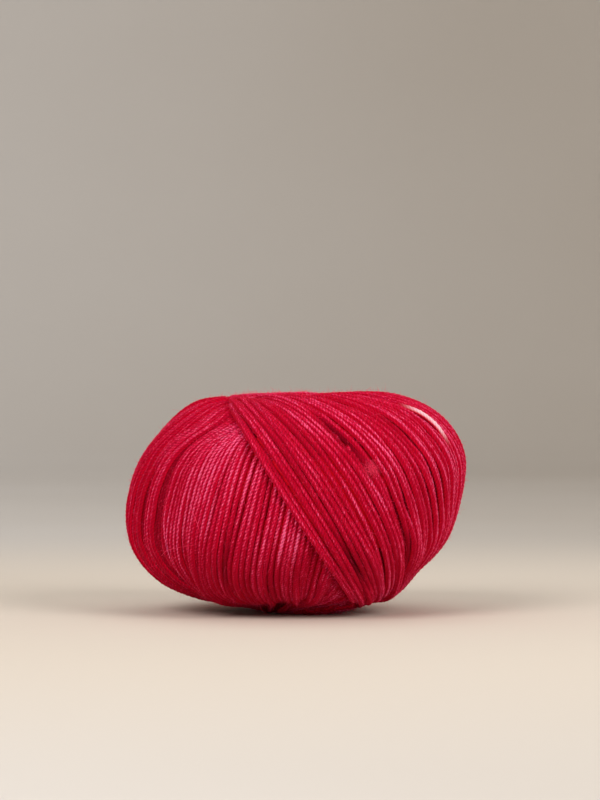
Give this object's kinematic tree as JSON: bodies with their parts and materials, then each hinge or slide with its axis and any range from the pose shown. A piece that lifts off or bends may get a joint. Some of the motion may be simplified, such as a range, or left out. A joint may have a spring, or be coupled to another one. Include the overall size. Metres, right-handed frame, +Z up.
{
  "type": "ball of yarn",
  "caption": "Squashed round ball of machine-wound wool yarn, its turns lying in two crossing lays, with a small flat spot to rest on.",
  "frame": {"origin": "middle of the ball's base, on the surface it rests on", "axes": "+Z up, -Y towards the viewer of the pictured side, +X to the viewer's right; the winding axis leans 10.5 degrees from +Z towards -X"},
  "size_m": [0.1041, 0.1044, 0.0672],
  "materials": {
    "wool": "plied wool yarn in a space-dyed red, matt with a slight sheen"
  },
  "bodies": {
    "root": {"yarn_ball": "wool"}
  },
  "joints": []
}
